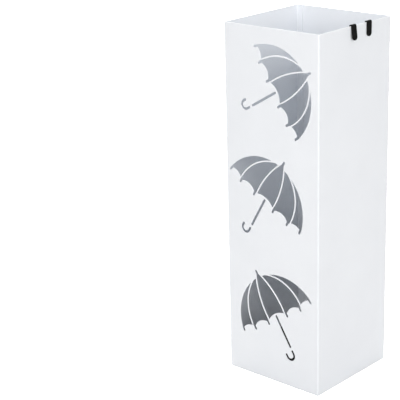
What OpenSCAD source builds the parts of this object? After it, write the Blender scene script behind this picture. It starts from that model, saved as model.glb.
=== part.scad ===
// Square umbrella stand: a folded sheet-steel tube with umbrella-shaped cut-outs in its front,
// a base pan on four foot pads, a lift-out drip tray and two lift-off rim hooks.
// Frame: millimetres, +Z up, origin on the floor at the centre of the square footprint.
// The front, which holds the cut-outs, faces -Y. The hooks hang on the rim of the +X wall.

/* [Body] */
// Outside width and depth of the square tube
body_w = 155; // [150:1:170]
// Height of the rim above the floor
body_h = 490; // [470:5:540]
// Thickness of the steel sheet
sheet_t = 1; // [0.8:0.1:1.2]
// Inside radius of the sheet's bends
bend_r = 1; // [0.5:0.25:1.5]
// Gap between the floor and the tube's lower edge
floor_gap = 0.5; // [0.5:0.5:3]

/* [Corner seam] */
// Width of the flange that laps the back wall, with its bend
lap_w = 10; // [8:0.5:12]
// Inside radius of the flange's bend
lap_bend_r = 2; // [1:0.5:3]

/* [Cut-outs] */
// Radius of the outer arc of a canopy of size 1
canopy_r = 69.4; // [60:0.2:69.4]
// Size of the top, middle and bottom umbrella
umbrella_size = [0.98, 1, 1.01]; // [0.9:0.01:1.01]
// Width of the metal ribs between the gores
rib_w = 1.9; // [1.5:0.1:3]
// Width of the slots for shaft, handle and ferrule
slot_w = 3.4; // [2.4:0.2:4]
// Tilt of the top, middle and bottom umbrella
umbrella_tilt = [-59.5, -30, 31.5]; // [-90:0.5:90]
// Offset of each umbrella's centre from the middle of the front
umbrella_x = [7, -12, 7]; // [-12:0.5:8]
// Height of each umbrella's centre above the floor
umbrella_z = [407, 258.5, 97]; // [80:0.5:410]

/* [Base pan] */
// Height of the foot pads, which carry the pan
foot_h = 4; // [3:0.5:6]
// Diameter of the foot pads
foot_d = 18; // [14:1:24]
// Distance of each foot pad's centre from the stand's middle
foot_offset = 58; // [45:1:60]
// Height of the pan's upturned flanges
pan_rise = 12; // [8:1:20]
// Side of the square relief in each corner of the pan
pan_relief = 3; // [2.5:0.5:6]

/* [Drip tray] */
// Width of the tray over its lip
tray_w = 135; // [120:1:135]
// Height of the tray
tray_h = 22; // [15:1:35]
// Thickness of the tray's walls and floor
tray_t = 2; // [1.5:0.5:3]
// How far the lip stands out from the tray's wall
tray_lip = 3; // [2:0.5:5]
// Outside radius of the tray's lip at its corners
tray_corner_r = 12; // [8:1:20]
// Height of the drainage ribs on the tray's floor
tray_rib_h = 1.5; // [1:0.5:3]
// Number of drainage ribs
tray_rib_count = 7; // [3:2:9]

/* [Hooks] */
// Width of the hook's steel strip
hook_w = 9.6; // [8:0.2:12]
// Thickness of the hook's steel strip
hook_t = 1.8; // [1.4:0.1:2]
// Clearance between the hook and each side of the rim
hook_clear = 0.15; // [0.1:0.05:0.2]
// Length of the outer leg below the rim
hook_leg = 18.5; // [16:0.5:30]
// Depth of the inner leg below the rim, down to the start of its bend
hook_drop = 26; // [20:1:40]
// Inside radius of the bend that carries a strap
hook_bend_r = 2.3; // [2.1:0.1:2.3]
// Length of the upturned tip above the bend
hook_tip = 9; // [6:1:14]
// Place of the front and the rear hook along the rim
hook_y = [-7, 26.5]; // [-60:0.5:60]
// Outward flare of the front and the rear hook's outer leg
hook_flare = [7.5, 0]; // [0:0.5:8]

/* [Hidden] */
$fn = 64;

half_w = body_w / 2;
inner_half = half_w - sheet_t;
bend_out = bend_r + sheet_t;
lap_out = lap_bend_r + sheet_t;
wall_h = body_h - floor_gap;
paint_fill = 0.2;

// The pan's sheet lies on the foot pads. The lap flange stops just above the pan's flanges.
pan_top = foot_h + sheet_t;
lap_bottom = foot_h + pan_rise + 2;

// Stencil of one umbrella, drawn upright: the origin is on the shaft, at the hem's height.
// Each rib runs along an arc. Its centre and radius are given for the left side, and for the
// right side as if mirrored to the left: the drawing is a little uneven, as if cut freehand.
canopy_centre = [0.4, -11.4];
canopy_full_r = 69.4;
stencil_scale = umbrella_size * canopy_r / canopy_full_r;
outer_ribs = [[18, 0], [11, 3.2]];
outer_rib_r = [65, 59.5];
inner_ribs = [[109, 8], [104, 7.5]];
inner_rib_r = [124.5, 120.2];
outer_hem = [-59, -14];
outer_hem_r = 19.2;
middle_hem = [-32.1, -14.7];
middle_hem_r = 18.2;
centre_hem = [0, -23.3];
centre_hem_r = 27.9;
tip_end = [-66.7, 0];
tip_root = [-65.9, 5];
tip_r = 1.6;
crown = [-13, 56.5];
crown_r = 5;
rib_end_r = 1.7;
rib_ends = [[-45, -4.1], [-18.4, -4.8]];
rib_end_root = 3;
ferrule_root = 55;
ferrule_top = 68.5;
shaft_top = 2.2;
shaft_bottom = -45.5;
handle_top = -49;
handle_turn = -54.7;
handle_r = 6;
handle_end = -50;

// Reach of the helper shapes that trim the stencil, and depth of the cutters through the front
reach = 100;
cut_depth = 10;

shell_colour = [0.93, 0.94, 0.95];
tray_colour = [0.09, 0.09, 0.1];
hook_colour = [0.02, 0.02, 0.025];
rubber_colour = [0.11, 0.11, 0.12];

// ---------- shared 2-D shapes ----------

// A quarter of a bent sheet, round the origin, in the first quadrant
module bend(inner_r, t) {
    intersection() {
        difference() {
            circle(inner_r + t);
            circle(inner_r);
        }
        square(inner_r + t);
    }
}

// A square of side w with round corners, centred on the origin
module rounded_square(w, r) {
    square([w, w - 2 * r], center = true);
    square([w - 2 * r, w], center = true);
    for (x = [-1, 1], y = [-1, 1])
        translate([x, y] * (w / 2 - r))
            circle(r);
}

// A straight stroke of half-width r with round ends, from a to b
module stroke(a, b, r) {
    run = b - a;
    translate(a)
        rotate(atan2(run.y, run.x))
            translate([0, -r])
                square([norm(run), 2 * r]);
    for (end = [a, b])
        translate(end)
            circle(r);
}

// ---------- umbrella stencil ----------

// The disc inside one rib, grown or shrunk to the rib's edge
module rib_disc(centre, r, grow) {
    translate(centre)
        circle(r + grow * rib_w / 2);
}

// Everything below the hem of one gore
module below_hem(centre, r) {
    translate(centre)
        circle(r);
    translate([-reach, -reach])
        square([2 * reach, reach]);
}

// The canopy's disc, seen from the side of the drawing that is being cut
module canopy_disc(side) {
    mirror([side, 0])
        translate(canopy_centre)
            circle(canopy_full_r);
}

// Outermost gore: it runs up to a blunt end beside the crown
module outer_gore(side) {
    difference() {
        canopy_disc(side);
        rib_disc(outer_ribs[side], outer_rib_r[side], 1);
        below_hem(outer_hem, outer_hem_r);
        translate(crown)
            circle(crown_r);
        translate([0, -reach])
            square(2 * reach);
    }
    stroke(tip_end, tip_root, tip_r);
}

// Gore between the two ribs of one side, with a rib end at each lower corner
module middle_gore(side) {
    difference() {
        intersection() {
            canopy_disc(side);
            rib_disc(outer_ribs[side], outer_rib_r[side], -1);
        }
        rib_disc(inner_ribs[side], inner_rib_r[side], 1);
        below_hem(middle_hem, middle_hem_r);
    }
    for (rib_end = rib_ends)
        stroke(rib_end, [rib_end.x, rib_end_root], rib_end_r);
}

// Centre gore, which runs up into the ferrule's slot
module centre_gore() {
    difference() {
        intersection() {
            rib_disc(inner_ribs[0], inner_rib_r[0], -1);
            mirror([1, 0])
                rib_disc(inner_ribs[1], inner_rib_r[1], -1);
        }
        below_hem(centre_hem, centre_hem_r);
    }
    stroke([0, ferrule_root], [0, ferrule_top - slot_w / 2], slot_w / 2);
}

// Hooked handle: a half ring with a short leg at each end
module handle() {
    half_slot = slot_w / 2;
    stroke([0, handle_top - half_slot], [0, handle_turn], half_slot);
    stroke([-2 * handle_r, handle_end - half_slot], [-2 * handle_r, handle_turn], half_slot);
    translate([-handle_r, handle_turn])
        rotate([180, 0, 0])
            for (side = [0, 1])
                mirror([side, 0])
                    bend(handle_r - half_slot, slot_w);
}

module umbrella_stencil() {
    half_slot = slot_w / 2;
    for (side = [0, 1])
        mirror([side, 0]) {
            outer_gore(side);
            middle_gore(side);
        }
    centre_gore();
    stroke([0, shaft_top - half_slot], [0, shaft_bottom + half_slot], half_slot);
    handle();
}

// ---------- body shell ----------

// Plan of the front wall's flat part, and of the bend between the front and right walls
module wall_plan() {
    translate([bend_out - half_w, -half_w])
        square([body_w - 2 * bend_out, sheet_t]);
}

module corner_plan() {
    translate([half_w - bend_out, bend_out - half_w])
        rotate(-90)
            bend(bend_r, sheet_t);
}

// Front, right and back walls. The back wall's free end lies flush with the left wall.
module three_walls_plan() {
    for (turn = [0, 90, 180])
        rotate(turn)
            wall_plan();
    for (turn = [-90, 0, 90])
        rotate(turn)
            corner_plan();
    translate([-half_w, inner_half])
        square([bend_out, sheet_t]);
}

// Left wall, up to the bend of its lap flange
module left_wall_plan() {
    translate([-half_w, bend_out - half_w])
        square([sheet_t, body_w - sheet_t - bend_out - lap_out]);
}

// Bend and flange that lap the inside of the back wall. Paint fills the crevice where the
// bend runs out along the wall, up to where it is paint_fill wide.
module lap_plan() {
    translate([lap_out - half_w, inner_half - lap_out])
        rotate(90)
            bend(lap_bend_r, sheet_t);
    translate([lap_out - half_w, inner_half - sheet_t])
        square([lap_w - lap_out, sheet_t]);
    fill_l = sqrt(2 * lap_out * paint_fill);
    translate([lap_out - half_w - fill_l, inner_half - 2 * paint_fill])
        square([fill_l, 2 * paint_fill]);
}

// Below the lap flange the left wall runs straight up to the back wall
module lap_foot_plan() {
    translate([-half_w, inner_half - lap_out])
        square([sheet_t, lap_out]);
}

module body_shell() {
    color(shell_colour)
    difference() {
        union() {
            translate([0, 0, floor_gap])
                linear_extrude(wall_h) {
                    three_walls_plan();
                    left_wall_plan();
                }
            translate([0, 0, lap_bottom])
                linear_extrude(body_h - lap_bottom)
                    lap_plan();
            translate([0, 0, floor_gap])
                linear_extrude(lap_bottom - floor_gap)
                    lap_foot_plan();
        }
        for (i = [0:2])
            translate([umbrella_x[i], cut_depth / 2 - half_w, umbrella_z[i]])
                rotate([90, 0, 0])
                    linear_extrude(cut_depth)
                        rotate(umbrella_tilt[i])
                            scale(stencil_scale[i])
                                umbrella_stencil();
    }
}

// ---------- base pan ----------

// Section of one flange and its bend, standing at the pan's edge
module pan_flange_section() {
    translate([inner_half - bend_out, bend_out])
        rotate(-90)
            bend(bend_r, sheet_t);
    translate([inner_half - sheet_t, bend_out])
        square([sheet_t, pan_rise - bend_out]);
}

module base_pan() {
    flange_l = 2 * (inner_half - pan_relief);
    plate_w = 2 * (inner_half - bend_out);
    color(shell_colour)
    translate([0, 0, foot_h]) {
        linear_extrude(sheet_t)
            square(plate_w, center = true);
        for (turn = [0:90:270])
            rotate(turn)
                translate([0, flange_l / 2, 0])
                    rotate([90, 0, 0])
                        linear_extrude(flange_l)
                            pan_flange_section();
    }
}

// A round pad with a small chamfer where it meets the floor
module foot_pad(x, y) {
    foot_r = foot_d / 2;
    chamfer = 0.6;
    color(rubber_colour)
    translate([x, y, 0])
        rotate_extrude()
            polygon([[0, 0], [foot_r - chamfer, 0], [foot_r, chamfer], [foot_r, foot_h], [0, foot_h]]);
}

// ---------- drip tray ----------

module drip_tray() {
    wall_w = tray_w - 2 * tray_lip;
    wall_r = tray_corner_r - tray_lip;
    cavity_w = wall_w - 2 * tray_t;
    rib_margin = 12;
    rib_half_w = 1;
    rib_l = cavity_w - 2 * rib_margin;
    rib_pitch = rib_l / (tray_rib_count - 1);
    color(tray_colour)
    translate([0, 0, pan_top]) {
        difference() {
            union() {
                linear_extrude(tray_h)
                    rounded_square(wall_w, wall_r);
                translate([0, 0, tray_h - tray_t])
                    linear_extrude(tray_t)
                        rounded_square(tray_w, tray_corner_r);
            }
            translate([0, 0, tray_t])
                linear_extrude(tray_h)
                    rounded_square(cavity_w, wall_r - tray_t);
        }
        for (i = [0:tray_rib_count - 1])
            translate([-rib_l / 2, i * rib_pitch - rib_l / 2, tray_t])
                linear_extrude(tray_rib_h)
                    stroke([0, 0], [rib_l, 0], rib_half_w);
    }
}

// ---------- rim hooks ----------

// Side view of the hook's bridge over the rim, its inner leg and its bend, with x measured
// from the middle of the wall and y from the rim
module hook_section() {
    slot = sheet_t / 2 + hook_clear;
    square([2 * slot, hook_t]);
    for (side = [0, 1])
        translate([2 * slot * side, 0])
            mirror([1 - side, 0])
                intersection() {
                    circle(hook_t);
                    square(hook_t);
                }
    translate([-hook_t, -hook_drop])
        square([hook_t, hook_drop]);
    translate([-hook_t - hook_bend_r, -hook_drop])
        rotate([180, 0, 0])
            for (side = [0, 1])
                mirror([side, 0])
                    bend(hook_bend_r, hook_t);
}

// A leaf of the strip: square at its root, round at its free end
module hook_leaf(l) {
    rotate([90, 0, 90])
        linear_extrude(hook_t) {
            translate([-hook_w / 2, hook_w / 2 - l])
                square([hook_w, l - hook_w / 2]);
            translate([0, hook_w / 2 - l])
                circle(hook_w / 2);
        }
}

module rim_hook(y, flare) {
    slot = sheet_t / 2 + hook_clear;
    tip_x = -2 * hook_bend_r - 2 * hook_t;
    color(hook_colour)
    translate([half_w - sheet_t / 2 - slot, y, body_h]) {
        translate([0, hook_w / 2, 0])
            rotate([90, 0, 0])
                linear_extrude(hook_w)
                    hook_section();
        translate([2 * slot, 0, 0])
            rotate([0, -flare, 0])
                hook_leaf(hook_leg);
        translate([tip_x, 0, -hook_drop])
            mirror([0, 0, 1])
                hook_leaf(hook_tip);
    }
}

module hook_front() { rim_hook(hook_y[0], hook_flare[0]); }
module hook_rear() { rim_hook(hook_y[1], hook_flare[1]); }

body_shell();
base_pan();
drip_tray();
hook_front();
hook_rear();
foot_pad(-foot_offset, -foot_offset);  // foot_front_left
foot_pad(foot_offset, -foot_offset);  // foot_front_right
foot_pad(-foot_offset, foot_offset);  // foot_rear_left
foot_pad(foot_offset, foot_offset);  // foot_rear_right
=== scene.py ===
"""Looks, lights and camera for a square steel umbrella stand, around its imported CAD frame.

Metres, +Z up. The origin is on the floor at the centre of the footprint. The front, with the
umbrella-shaped cut-outs, faces -Y, and the hooks hang on the +X wall.
"""

import math

import bmesh
import bpy
from mathutils import Matrix, Vector


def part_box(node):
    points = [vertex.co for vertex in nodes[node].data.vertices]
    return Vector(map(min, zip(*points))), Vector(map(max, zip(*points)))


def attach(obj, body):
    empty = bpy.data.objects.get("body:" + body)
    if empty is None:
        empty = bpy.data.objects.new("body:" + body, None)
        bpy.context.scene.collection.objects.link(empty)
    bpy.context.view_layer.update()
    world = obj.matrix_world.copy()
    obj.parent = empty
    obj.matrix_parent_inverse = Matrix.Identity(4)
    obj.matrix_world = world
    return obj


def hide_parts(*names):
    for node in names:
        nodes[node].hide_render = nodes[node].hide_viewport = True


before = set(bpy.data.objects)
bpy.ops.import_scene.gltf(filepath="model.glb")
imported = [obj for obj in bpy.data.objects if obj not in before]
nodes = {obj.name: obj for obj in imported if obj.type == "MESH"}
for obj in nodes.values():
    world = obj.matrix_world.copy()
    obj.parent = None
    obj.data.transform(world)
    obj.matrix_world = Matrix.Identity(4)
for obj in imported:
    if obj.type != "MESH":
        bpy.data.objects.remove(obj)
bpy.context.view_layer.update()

MM = 0.001

# ---------- camera ----------

CAMERA_AZIMUTH = math.radians(42.752)
CAMERA_ELEVATION = math.radians(18.47)
CAMERA_ROLL = math.radians(-1.593)
CAMERA_DISTANCE = 1777.5 * MM
CAMERA_RIGHT = -146.25 * MM
CAMERA_UP = 0.575 * MM
CAMERA_LENS = 117.8
CAMERA_SENSOR = 36.0
CAMERA_NEAR = 0.05
CAMERA_FAR = 60.0


def make_camera():
    """Looks at the middle of the tube from the front right, with the stand right of centre."""
    rim_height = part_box("body_shell")[1].z
    back = Vector(
        (
            math.sin(CAMERA_AZIMUTH) * math.cos(CAMERA_ELEVATION),
            -math.cos(CAMERA_AZIMUTH) * math.cos(CAMERA_ELEVATION),
            math.sin(CAMERA_ELEVATION),
        )
    )
    right = Vector((math.cos(CAMERA_AZIMUTH), math.sin(CAMERA_AZIMUTH), 0))
    up = back.cross(right)
    data = bpy.data.cameras.new("camera")
    data.lens = CAMERA_LENS
    data.sensor_width = CAMERA_SENSOR
    data.clip_start = CAMERA_NEAR
    data.clip_end = CAMERA_FAR
    camera = bpy.data.objects.new("camera", data)
    bpy.context.scene.collection.objects.link(camera)
    turn = Matrix((right, up, back)).transposed().to_4x4()
    place = Vector((0, 0, rim_height / 2)) + back * CAMERA_DISTANCE
    place += right * CAMERA_RIGHT + up * CAMERA_UP
    camera.matrix_world = Matrix.Translation(place) @ turn @ Matrix.Rotation(CAMERA_ROLL, 4, "Z")
    bpy.context.scene.camera = camera


# ---------- node helpers ----------

# Most of a noise's values lie between these.
NOISE_LOW = 0.3
NOISE_HIGH = 0.7


def new_material(name):
    """A new material, its node tree and its Principled shader."""
    material = bpy.data.materials.new(name)
    material.use_nodes = True
    tree = material.node_tree
    shader = tree.nodes["Principled BSDF"]
    return material, tree, shader


def noise(tree, size, detail=2.0, roughness=0.5):
    """Noise in object space whose features are about size metres wide."""
    place = tree.nodes.new("ShaderNodeTexCoord")
    node = tree.nodes.new("ShaderNodeTexNoise")
    node.inputs["Scale"].default_value = 1 / size
    node.inputs["Detail"].default_value = detail
    node.inputs["Roughness"].default_value = roughness
    tree.links.new(place.outputs["Object"], node.inputs["Vector"])
    return node.outputs["Fac"]


def spread(tree, value, low, high):
    """Spreads the middle range of a noise from low to high."""
    node = tree.nodes.new("ShaderNodeMapRange")
    node.inputs["From Min"].default_value = NOISE_LOW
    node.inputs["From Max"].default_value = NOISE_HIGH
    node.inputs["To Min"].default_value = low
    node.inputs["To Max"].default_value = high
    tree.links.new(value, node.inputs["Value"])
    return node.outputs["Result"]


def blend_colours(tree, value, dark, light):
    """A colour between dark and light, where value runs from 0 to 1."""
    node = tree.nodes.new("ShaderNodeMix")
    node.data_type = "RGBA"
    node.inputs["A"].default_value = (*dark, 1)
    node.inputs["B"].default_value = (*light, 1)
    tree.links.new(value, node.inputs["Factor"])
    return node.outputs["Result"]


def bump(tree, height, depth, below=None):
    """Relief of the given depth in metres, on top of another relief if there is one."""
    node = tree.nodes.new("ShaderNodeBump")
    node.inputs["Distance"].default_value = depth
    tree.links.new(height, node.inputs["Height"])
    if below is not None:
        tree.links.new(below, node.inputs["Normal"])
    return node.outputs["Normal"]


# ---------- materials ----------


def white_powder_coat():
    """Satin white: orange peel about 2 mm wide over a finer grain, and faint uneven gloss."""
    material, tree, shader = new_material("white_powder_coat")
    tone = spread(tree, noise(tree, size=60 * MM, detail=3), 0, 1)
    colour = blend_colours(tree, tone, (0.747, 0.784, 0.84), (0.767, 0.804, 0.86))
    tree.links.new(colour, shader.inputs["Base Color"])
    gloss = spread(tree, noise(tree, size=25 * MM, detail=4), 0.36, 0.46)
    tree.links.new(gloss, shader.inputs["Roughness"])
    peel = bump(tree, noise(tree, size=1.8 * MM, detail=1), 0.1 * MM)
    grain = bump(tree, noise(tree, size=0.45 * MM, detail=2), 0.03 * MM, peel)
    tree.links.new(grain, shader.inputs["Normal"])
    shader.inputs["Coat Weight"].default_value = 0.15
    shader.inputs["Coat Roughness"].default_value = 0.3
    return material


def black_coated_steel():
    """Satin black powder coat with a fine grain."""
    material, tree, shader = new_material("black_coated_steel")
    tone = spread(tree, noise(tree, size=6 * MM, detail=3), 0, 1)
    colour = blend_colours(tree, tone, (0.003, 0.003, 0.0035), (0.006, 0.006, 0.0065))
    tree.links.new(colour, shader.inputs["Base Color"])
    gloss = spread(tree, noise(tree, size=4 * MM, detail=3), 0.46, 0.58)
    tree.links.new(gloss, shader.inputs["Roughness"])
    grain = bump(tree, noise(tree, size=0.5 * MM, detail=2), 0.03 * MM)
    tree.links.new(grain, shader.inputs["Normal"])
    shader.inputs["Specular IOR Level"].default_value = 0.08
    return material


def black_moulded_plastic():
    """Injection-moulded plastic with a fine spark-eroded grain."""
    material, tree, shader = new_material("black_moulded_plastic")
    tone = spread(tree, noise(tree, size=18 * MM, detail=4), 0, 1)
    colour = blend_colours(tree, tone, (0.014, 0.014, 0.015), (0.022, 0.022, 0.024))
    tree.links.new(colour, shader.inputs["Base Color"])
    gloss = spread(tree, noise(tree, size=8 * MM, detail=3), 0.48, 0.62)
    tree.links.new(gloss, shader.inputs["Roughness"])
    grain = bump(tree, noise(tree, size=0.7 * MM, detail=3, roughness=0.6), 0.05 * MM)
    tree.links.new(grain, shader.inputs["Normal"])
    shader.inputs["Specular IOR Level"].default_value = 0.4
    return material


def foot_rubber():
    """Matt black rubber, a little dusty."""
    material, tree, shader = new_material("foot_rubber")
    tone = spread(tree, noise(tree, size=3 * MM, detail=5, roughness=0.65), 0, 1)
    colour = blend_colours(tree, tone, (0.02, 0.02, 0.02), (0.045, 0.044, 0.042))
    tree.links.new(colour, shader.inputs["Base Color"])
    grain = bump(tree, noise(tree, size=0.9 * MM, detail=4, roughness=0.6), 0.05 * MM)
    tree.links.new(grain, shader.inputs["Normal"])
    shader.inputs["Roughness"].default_value = 0.85
    return material


# ---------- pieces ----------

WELD_GAP = 0.002 * MM
# Faces that turn by less than this are one flat face.
FLAT_TURN = math.radians(0.3)
# Edges that turn by more than the first and less than the second get rounded.
SHARP_TURN = math.radians(35)
FOLDED_TURN = math.radians(130)
# Large flat faces decide the shading of the narrow rounds beside them.
NORMALS_BY_AREA = 100


def place_piece(name, bm, material, node, body):
    """Makes a piece of bm that stands for a CAD node and moves with its body."""
    mesh = bpy.data.meshes.new(name)
    bm.to_mesh(mesh)
    bm.free()
    mesh.shade_smooth()
    mesh.materials.append(material)
    piece = bpy.data.objects.new(name, mesh)
    bpy.context.scene.collection.objects.link(piece)
    even = piece.modifiers.new("even_normals", "WEIGHTED_NORMAL")
    even.weight = NORMALS_BY_AREA
    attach(piece, body)
    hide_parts(node)
    return piece


def welded_mesh(node):
    """A copy of a CAD node's mesh, with the corners that its triangles share made one."""
    bm = bmesh.new()
    bm.from_mesh(nodes[node].data)
    bmesh.ops.remove_doubles(bm, verts=bm.verts, dist=WELD_GAP)
    return bm


def join_flats(bm):
    """Joins the triangles that lie in one plane into whole flat faces."""
    bmesh.ops.dissolve_limit(bm, angle_limit=FLAT_TURN, verts=bm.verts, edges=bm.edges)


def sharp_edges(bm, hollows=False):
    """The edges of the outward corners, and with hollows those of the inward ones too."""
    edges = []
    for edge in bm.edges:
        turn = edge.calc_face_angle_signed(0)
        if hollows:
            turn = abs(turn)
        if SHARP_TURN < turn < FOLDED_TURN:
            edges.append(edge)
    return edges


def round_edges(bm, edges, radius, segments):
    """Gives the edges a round of that radius, made of that many strips."""
    bmesh.ops.bevel(
        bm,
        geom=edges,
        offset=radius,
        offset_type="OFFSET",
        segments=segments,
        profile=0.5,
        affect="EDGES",
        clamp_overlap=False,
        miter_outer="ARC",
        spread=radius,
    )


# ---------- folded shell ----------

SHEET = 1.0 * MM
COAT_RADIUS = 0.2 * MM
COAT_STEPS = 3
# Height of the lap flange's lower end.
LAP_BOTTOM = 18.0 * MM
# The cut-outs keep at least this far from the folds and from the tube's two ends.
FOLD_MARGIN = 3.0 * MM
RIM_MARGIN = 1.0 * MM
# Of the flat faces in the front wall, only its two sides are larger, in square metres.
PANEL_AREA = 0.05
# Least part of its normal along Y for a face that lies square to Y.
SQUARE_ON = 0.999
TINY = 0.01 * MM
MERGE_GAP = 0.0005 * MM

# Three points lie in a line if twice the sine of the angle between them is below this.
IN_LINE = 1e-6
# What counts as an arc in an outline, and how finely it is divided.
ARC_MISS = 0.004 * MM
ARC_RADIUS_MOST = 200 * MM
ARC_TURN_MOST = math.radians(12)
FACET_MISS = 0.005 * MM
# Sharp tips of steel, and the room that they keep.
TIP_TURN = math.radians(60)
TIP_CLEARANCE = 0.45 * MM
# Where a hole ends in a tip, its edge is rounded in turns of at most this.
FAN_TURN = math.radians(20)
# A corner's ray is at most this many times as long as a straight edge's.
RAY_MOST = 2


def height_of(outline):
    """How far an outline of (x, z) points reaches in Z."""
    heights = [point.y for point in outline]
    return max(heights) - min(heights)


def cut_outlines(bm, depth):
    """The holes in the flat wall at that Y, as lists of (x, z) with the steel on their left."""
    wall = []
    for face in bm.faces:
        if face.normal.y < -SQUARE_ON and abs(face.calc_center_median().y - depth) < TINY:
            wall.append(face)
    in_wall = set(wall)
    following = {}
    for face in wall:
        for loop in face.loops:
            if loop.link_loop_radial_next.face not in in_wall:
                following[loop.vert] = loop.link_loop_next.vert
    outlines = []
    while following:
        vert = next(iter(following))
        outline = []
        while vert in following:
            outline.append(Vector((vert.co.x, vert.co.z)))
            vert = following.pop(vert)
        outlines.append(outline)
    outlines.sort(key=height_of)
    return outlines[:-1]


def circle_through(a, b, c):
    """Centre of the circle through three points, or None if they lie in a line."""
    ab, ac = b - a, c - a
    cross = 2 * ab.cross(ac)
    if abs(cross) < IN_LINE * ab.length * ac.length:
        return None
    across = ac.length_squared * ab - ab.length_squared * ac
    return a + Vector((-across.y, across.x)) / cross


def arc_centre(outline, index):
    """Centre of the arc that holds the edge from a point to the next, or None if it's straight."""
    count = len(outline)
    for first in (index - 1, index - 2, index):
        window = [outline[(first + step) % count] for step in range(4)]
        centre = circle_through(*window[:3])
        if centre is None:
            continue
        radius = (window[0] - centre).length
        if abs((window[3] - centre).length - radius) > ARC_MISS:
            continue
        start = outline[index] - centre
        end = outline[(index + 1) % count] - centre
        if radius < ARC_RADIUS_MOST and abs(start.angle_signed(end)) < ARC_TURN_MOST:
            return centre
    return None


def refined(outline):
    """The outline with points added along its arcs, until no facet strays from them."""
    points = []
    for index, point in enumerate(outline):
        points.append(point)
        centre = arc_centre(outline, index)
        if centre is None:
            continue
        start = point - centre
        turn = -start.angle_signed(outline[(index + 1) % len(outline)] - centre)
        bulge = start.length * (1 - math.cos(turn / 2))
        pieces = math.ceil(math.sqrt(bulge / FACET_MISS))
        for piece in range(1, pieces):
            points.append(centre + Matrix.Rotation(turn * piece / pieces, 2) @ start)
    return points


def turn_at(outline, index):
    """Directions of the edges before and after a point, and the turn between them."""
    before = outline[index] - outline[index - 1]
    after = outline[(index + 1) % len(outline)] - outline[index]
    return before, after, -before.angle_signed(after)


def clear_of_tips(outline):
    """The outline without the points that crowd a sharp tip of steel."""
    tips = []
    for index, point in enumerate(outline):
        if turn_at(outline, index)[2] > TIP_TURN:
            tips.append(point)
    kept = []
    for point in outline:
        if point in tips or all((point - tip).length > TIP_CLEARANCE for tip in tips):
            kept.append(point)
    return kept


def rays_into_steel(outline):
    """(point, ray) pairs around an outline, with a fan of rays where a hole ends in a tip."""
    pairs = []
    for index, point in enumerate(outline):
        before, after, turn = turn_at(outline, index)
        start = Vector((-before.y, before.x)).normalized()
        if turn < -FAN_TURN:
            steps = math.ceil(-turn / FAN_TURN)
            for step in range(steps + 1):
                pairs.append((point, Matrix.Rotation(turn * step / steps, 2) @ start))
        else:
            end = Vector((-after.y, after.x)).normalized()
            ray = (start + end) / (1 + start.dot(end))
            if ray.length > RAY_MOST:
                ray = RAY_MOST * ray.normalized()
            pairs.append((point, ray))
    return pairs


def line_hole(bm, outline, front, back):
    """Adds the wall of a hole from the front to the back of the sheet, with round edges."""
    corner = []
    for step in range(COAT_STEPS + 1):
        angle = math.pi / 2 * step / COAT_STEPS
        corner.append((COAT_RADIUS * (1 - math.sin(angle)), COAT_RADIUS * (1 - math.cos(angle))))
    profile = [(offset, front + depth) for offset, depth in corner]
    profile += [(offset, back - depth) for offset, depth in reversed(corner)]
    pairs = rays_into_steel(outline)
    rings = []
    for offset, depth in profile:
        ring = []
        for point, ray in pairs:
            place = point + offset * ray
            ring.append(bm.verts.new((place.x, depth, place.y)))
        rings.append(ring)
    for near, far in zip(rings, rings[1:]):
        for index in range(len(near)):
            bm.faces.new((near[index - 1], near[index], far[index], far[index - 1]))


def fill_wall(bm, depth, facing):
    """Fills the flat wall at that Y between its outline and its holes."""
    edges = []
    for edge in bm.edges:
        on_wall = all(abs(vert.co.y - depth) < TINY for vert in edge.verts)
        if edge.is_boundary and on_wall:
            edges.append(edge)
    bmesh.ops.triangle_fill(bm, use_beauty=True, edges=edges, normal=(0, facing, 0))


def close_front(bm, low, high):
    """Takes the cut-outs out of the front wall, so that it is plain on both sides."""
    cut = []
    for vert in bm.verts:
        between_folds = abs(vert.co.x) < high.x - FOLD_MARGIN
        between_ends = low.z + RIM_MARGIN < vert.co.z < high.z - RIM_MARGIN
        if between_folds and between_ends and vert.co.y < low.y + SHEET + TINY:
            cut.append(vert)
    bmesh.ops.delete(bm, geom=cut, context="VERTS")
    bmesh.ops.holes_fill(bm, edges=[edge for edge in bm.edges if edge.is_boundary], sides=0)
    join_flats(bm)


def round_tube(bm):
    """Rounds the outward edges, apart from the lap flange's lower end."""
    rounded = []
    for edge in sharp_edges(bm):
        if any(abs(vert.co.z - LAP_BOTTOM) > TINY for vert in edge.verts):
            rounded.append(edge)
    round_edges(bm, rounded, COAT_RADIUS, COAT_STEPS)


def open_front(bm, back):
    """Takes the large flat faces off both sides of the front wall."""
    panels = []
    for face in bm.faces:
        in_front = face.calc_center_median().y < back + TINY
        if in_front and abs(face.normal.y) > SQUARE_ON and face.calc_area() > PANEL_AREA:
            panels.append(face)
    bmesh.ops.delete(bm, geom=panels, context="FACES_ONLY")


def make_shell(coat):
    """Rounds the edges of a plain tube first, and then puts the cut-outs into its front."""
    low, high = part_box("body_shell")
    front = low.y
    back = front + SHEET
    bm = welded_mesh("body_shell")
    outlines = cut_outlines(bm, front)
    close_front(bm, low, high)
    round_tube(bm)
    open_front(bm, back)
    for outline in outlines:
        line_hole(bm, clear_of_tips(refined(outline)), front, back)
    bmesh.ops.remove_doubles(bm, verts=bm.verts, dist=MERGE_GAP)
    fill_wall(bm, front, -1)
    fill_wall(bm, back, 1)
    bmesh.ops.recalc_face_normals(bm, faces=bm.faces)
    place_piece("folded_shell", bm, coat, "body_shell", "stand")


# ---------- hooks ----------

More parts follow.
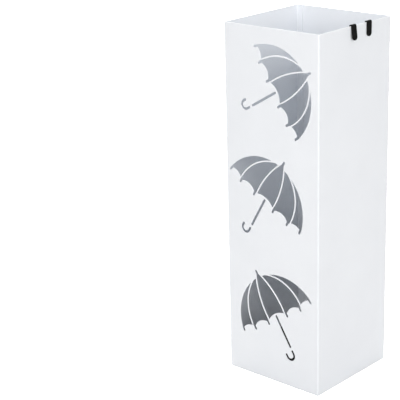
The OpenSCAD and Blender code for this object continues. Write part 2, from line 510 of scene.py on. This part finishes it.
# The strip runs down from its tip, round the J, up to the rim, over it and down outside.
STRIP_DEPTH = 1.8 * MM
STRIP_EDGE = 0.45 * MM
STRIP_EDGE_STEPS = 4
STRIP_END_STEPS = 24
RIM_SLACK = 0.15 * MM
RIM_BEND = 0.12 * MM
HOOK_BEND = 2.3 * MM
HOOK_DROP = 26.0 * MM
HOOK_TIP = 9.0 * MM
HOOK_LEG = 18.5 * MM
HOOK_FLARE = math.radians(7.5)
BEND_TURN = math.radians(7.5)


def hook_run(flare):
    """The strip's centre line as (length, turn) steps, from the tip to the outer leg's end."""
    half_depth = STRIP_DEPTH / 2
    rim_turn = RIM_BEND + half_depth
    gap = SHEET + 2 * RIM_SLACK - 2 * RIM_BEND
    right_angle = math.pi / 2
    return [
        (HOOK_TIP, 0),
        ((HOOK_BEND + half_depth) * math.pi, math.pi),
        (HOOK_DROP - RIM_BEND, 0),
        (rim_turn * right_angle, -right_angle),
        (gap, 0),
        (rim_turn * (right_angle - flare), flare - right_angle),
        (HOOK_LEG - RIM_BEND, 0),
    ]


def walk(run, distance):
    """Place and heading in the XZ plane after that distance along a run, which starts down."""
    place = Vector((0, 0))
    heading = -math.pi / 2
    for length, turn in run:
        step = min(distance, length)
        if turn:
            radius = length / turn
            swing = step / radius
            side = Vector((-math.sin(heading), math.cos(heading)))
            heading += swing
            place += radius * side
            place -= radius * Vector((-math.sin(heading), math.cos(heading)))
        else:
            place += step * Vector((math.cos(heading), math.sin(heading)))
        distance -= step
        if distance <= 0:
            break
    return place, heading


def flat_strip(length, width):
    """A flat bar along X from 0 to length, with half-round ends and rounded edges."""
    bm = bmesh.new()
    radius = width / 2
    outline = []
    for centre, start in ((length - radius, -90), (radius, 90)):
        for step in range(STRIP_END_STEPS + 1):
            angle = math.radians(start + 180 * step / STRIP_END_STEPS)
            point = (centre + radius * math.cos(angle), radius * math.sin(angle), -STRIP_DEPTH / 2)
            outline.append(bm.verts.new(point))
    floor = bm.faces.new(outline)
    top = bmesh.ops.extrude_face_region(bm, geom=[floor])
    raised = [item for item in top["geom"] if isinstance(item, bmesh.types.BMVert)]
    bmesh.ops.translate(bm, verts=raised, vec=(0, 0, STRIP_DEPTH))
    bmesh.ops.recalc_face_normals(bm, faces=bm.faces)
    round_edges(bm, sharp_edges(bm), STRIP_EDGE, STRIP_EDGE_STEPS)
    return bm


def cut_bends(bm, run):
    """Cuts the strip across where it bends, so that it can follow the bend."""
    reach = 0
    for length, turn in run:
        if turn:
            cuts = math.ceil(abs(turn) / BEND_TURN)
            for cut in range(cuts + 1):
                geometry = [*bm.verts, *bm.edges, *bm.faces]
                spot = (reach + length * cut / cuts, 0, 0)
                bmesh.ops.bisect_plane(bm, geom=geometry, plane_co=spot, plane_no=(1, 0, 0))
        reach += length


def make_hook(node, body, flare, material):
    """Bends a flat strip over the right wall's rim, with its outer leg flared by that angle."""
    low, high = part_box(node)
    shell_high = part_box("body_shell")[1]
    run = hook_run(flare)
    length = sum(step for step, turn in run)
    bm = flat_strip(length, high.y - low.y)
    cut_bends(bm, run)
    # Across the J and the gap to the wall, from the middle of the tip to that of the sheet.
    tip_to_wall = 2 * HOOK_BEND + 1.5 * STRIP_DEPTH + SHEET / 2 + RIM_SLACK
    start_x = shell_high.x - SHEET / 2 - tip_to_wall
    start_z = shell_high.z - HOOK_DROP + HOOK_TIP
    for vert in bm.verts:
        place, heading = walk(run, vert.co.x)
        out = vert.co.z
        x = start_x + place.x - out * math.sin(heading)
        z = start_z + place.y + out * math.cos(heading)
        vert.co = (x, vert.co.y + (low.y + high.y) / 2, z)
    bmesh.ops.recalc_face_normals(bm, faces=bm.faces)
    place_piece(node + "_strip", bm, material, node, body)


# ---------- base, pads and tray ----------

PAD_RADIUS = 0.4 * MM
PAD_STEPS = 3
TRAY_RADIUS = 0.6 * MM
TRAY_STEPS = 4


def rounded_mesh(node, radius, segments, hollows=False):
    """A CAD node's shape with its outward edges rounded, and with hollows the inward ones."""
    bm = welded_mesh(node)
    join_flats(bm)
    round_edges(bm, sharp_edges(bm, hollows), radius, segments)
    return bm


def make_base(coat, rubber):
    """The welded-in pan, and the rubber pads under it."""
    pan = rounded_mesh("base_pan", COAT_RADIUS, COAT_STEPS)
    place_piece("bottom_pan", pan, coat, "base_pan", "stand")
    for node in nodes:
        if node.startswith("foot_"):
            pad = rounded_mesh(node, PAD_RADIUS, PAD_STEPS)
            place_piece(node + "_pad", pad, rubber, node, "stand")


def make_tray(plastic):
    """The loose drip tray, with moulded rounds at its corners and hollows."""
    tray = rounded_mesh("drip_tray", TRAY_RADIUS, TRAY_STEPS, hollows=True)
    place_piece("moulded_tray", tray, plastic, "drip_tray", "tray")


# ---------- floor and light ----------

FLOOR_REACH = 24.0
FLOOR_SEEN = 3.5
FLOOR_LIT = 0.86
WORLD_SEEN = 1.0
WORLD_LIT = 0.28
LIGHT_COLOUR = (1.0, 0.965, 0.918)
STUDIO_DISTANCE = 3.0
STUDIO_SIZE = 1.6
MOUTH_DISTANCE = 0.8
MOUTH_SIZE = 0.35


def seen_and_lit(tree, seen, lit):
    """One strength of white as the camera sees it, and another as it lights the stand."""
    path = tree.nodes.new("ShaderNodeLightPath")
    node = tree.nodes.new("ShaderNodeMapRange")
    node.inputs["To Min"].default_value = lit
    node.inputs["To Max"].default_value = seen
    tree.links.new(path.outputs["Is Camera Ray"], node.inputs["Value"])
    return node.outputs["Result"]


def make_floor():
    """A plain pale floor, matt, and plain white to the camera."""
    mesh = bpy.data.meshes.new("floor")
    corners = []
    for x, y in ((-1, -1), (1, -1), (1, 1), (-1, 1)):
        corners.append((x * FLOOR_REACH, y * FLOOR_REACH, 0))
    mesh.from_pydata(corners, [], [(0, 1, 2, 3)])
    floor = bpy.data.objects.new("floor", mesh)
    bpy.context.scene.collection.objects.link(floor)
    material = bpy.data.materials.new("studio_floor")
    material.use_nodes = True
    tree = material.node_tree
    tree.nodes.remove(tree.nodes["Principled BSDF"])
    matt = tree.nodes.new("ShaderNodeBsdfDiffuse")
    tree.links.new(seen_and_lit(tree, FLOOR_SEEN, FLOOR_LIT), matt.inputs["Color"])
    tree.links.new(matt.outputs["BSDF"], tree.nodes["Material Output"].inputs["Surface"])
    mesh.materials.append(material)


def softbox(name, azimuth, elevation, distance, size, power):
    """A square area light that looks at the middle of the stand. Azimuth 0 is in front."""
    turn, rise = math.radians(azimuth), math.radians(elevation)
    data = bpy.data.lights.new(name, "AREA")
    data.shape = "SQUARE"
    data.size = size
    data.energy = power
    data.color = LIGHT_COLOUR
    light = bpy.data.objects.new(name, data)
    bpy.context.scene.collection.objects.link(light)
    aim = Vector((0, 0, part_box("body_shell")[1].z / 2))
    away = Vector(
        (math.sin(turn) * math.cos(rise), -math.cos(turn) * math.cos(rise), math.sin(rise))
    )
    light.location = aim + away * distance
    light.rotation_mode = "QUATERNION"
    light.rotation_quaternion = away.to_track_quat("Z", "Y")


def make_lights():
    """Four large softboxes around the stand, and a small one over its mouth."""
    # Name, azimuth and elevation in degrees, and watts.
    around = (
        ("right_front", 68, 22, 33),
        ("front", 9, 22, 43),
        ("right_side", 105, 25, 15),
        ("back_left", 230, 35, 50),
    )
    for name, azimuth, elevation, power in around:
        softbox(name, azimuth, elevation, STUDIO_DISTANCE, STUDIO_SIZE, power)
    softbox("over_mouth", 0, 90, MOUTH_DISTANCE, MOUTH_SIZE, 2.6)


def make_world():
    """Even white surroundings, dimmer as light than as the camera sees them."""
    world = bpy.data.worlds.new("studio")
    world.use_nodes = True
    tree = world.node_tree
    background = tree.nodes["Background"]
    background.inputs["Color"].default_value = (1, 1, 1, 1)
    tree.links.new(seen_and_lit(tree, WORLD_SEEN, WORLD_LIT), background.inputs["Strength"])
    bpy.context.scene.world = world


# ---------- the whole scene ----------

make_camera()
make_floor()
make_world()
make_lights()
bpy.context.scene.view_settings.view_transform = "Standard"

coat = white_powder_coat()
make_shell(coat)
make_base(coat, foot_rubber())
make_tray(black_moulded_plastic())
hook_black = black_coated_steel()
make_hook("hook_front", "front_hook", HOOK_FLARE, hook_black)
make_hook("hook_rear", "rear_hook", 0, hook_black)
